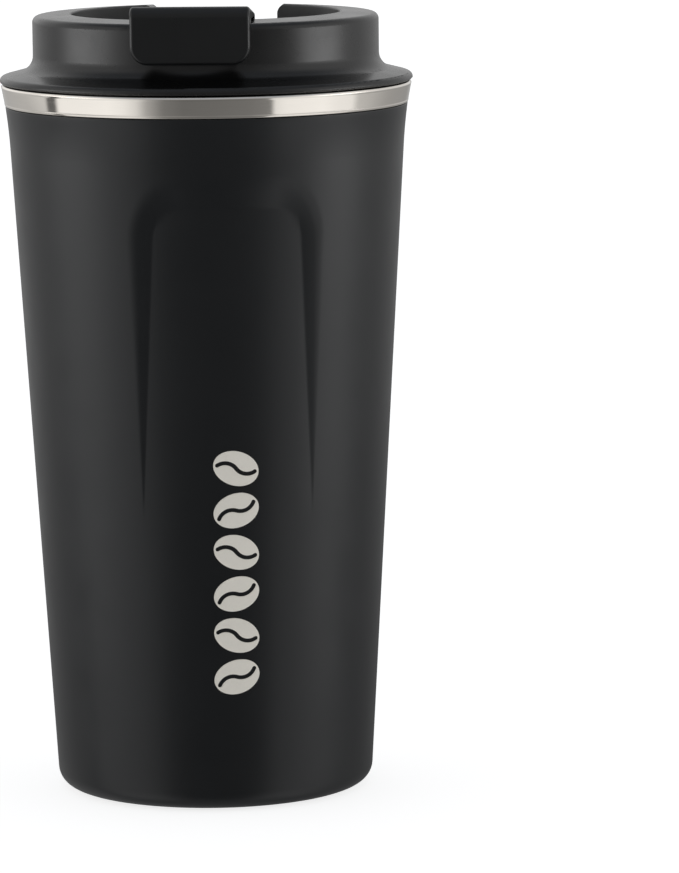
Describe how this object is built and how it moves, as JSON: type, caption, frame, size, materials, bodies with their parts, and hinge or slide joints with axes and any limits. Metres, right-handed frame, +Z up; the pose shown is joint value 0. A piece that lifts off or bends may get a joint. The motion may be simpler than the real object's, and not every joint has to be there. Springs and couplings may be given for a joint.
{
  "type": "insulated travel mug",
  "caption": "Double-walled steel travel mug with grip flutes, a screw-in lid and a flip-over drinking flap.",
  "frame": {"origin": "centre of the base, on the surface the mug stands on", "axes": "+Z up along the cup, -Y towards the drinking flap, +X along the flap's hinge"},
  "size_m": [0.0904, 0.0904, 0.1748],
  "materials": {
    "body_coat": "satin powder coat",
    "steel": "brushed",
    "polished_steel": "polished stainless steel",
    "emblem_steel": "satin",
    "solder": "dull",
    "getter_powder": "matte",
    "copper": "bright",
    "silicone": "matte",
    "seal_silicone": "translucent matte",
    "lid_plastic": "fine satin texture",
    "flap_plastic": "satin",
    "foam": "closed-cell foam"
  },
  "bodies": {
    "cup": {"outer_shell": "body_coat", "outer_base": "steel", "vacuum_seal": "solder", "getter_tray": "steel", "getter": "getter_powder", "base_pad": "silicone", "inner_liner": "steel", "liner_foil": "copper", "mouth_band": "polished_steel", "emblem": "emblem_steel"},
    "seal": {"lid_seal": "seal_silicone"},
    "lid": {"lid_plug": "lid_plastic", "lid_insulation": "foam", "lid_top": "lid_plastic", "vent_valve": "seal_silicone", "hinge_pin": "steel"},
    "flap": {"flap": "flap_plastic", "flap_stopper": "silicone"}
  },
  "joints": [
    {"name": "lid_lift", "type": "slide", "parent": "cup", "child": "seal", "axis": [0, 0, 1], "range_m": [0, 0.036]},
    {"name": "lid_turn", "type": "hinge", "parent": "seal", "child": "lid", "pos_m": [0, 0, 0.156], "axis": [0, 0, 1], "range_deg": [0, 1080]},
    {"name": "flap_hinge", "type": "hinge", "parent": "lid", "child": "flap", "pos_m": [0, 0, 0.1672], "axis": [-1, 0, 0], "range_deg": [0, 170]}
  ],
  "couplings": [
    {"joint": "lid_lift", "follows": "lid_turn", "m_per_rad": 0.0019099}
  ]
}
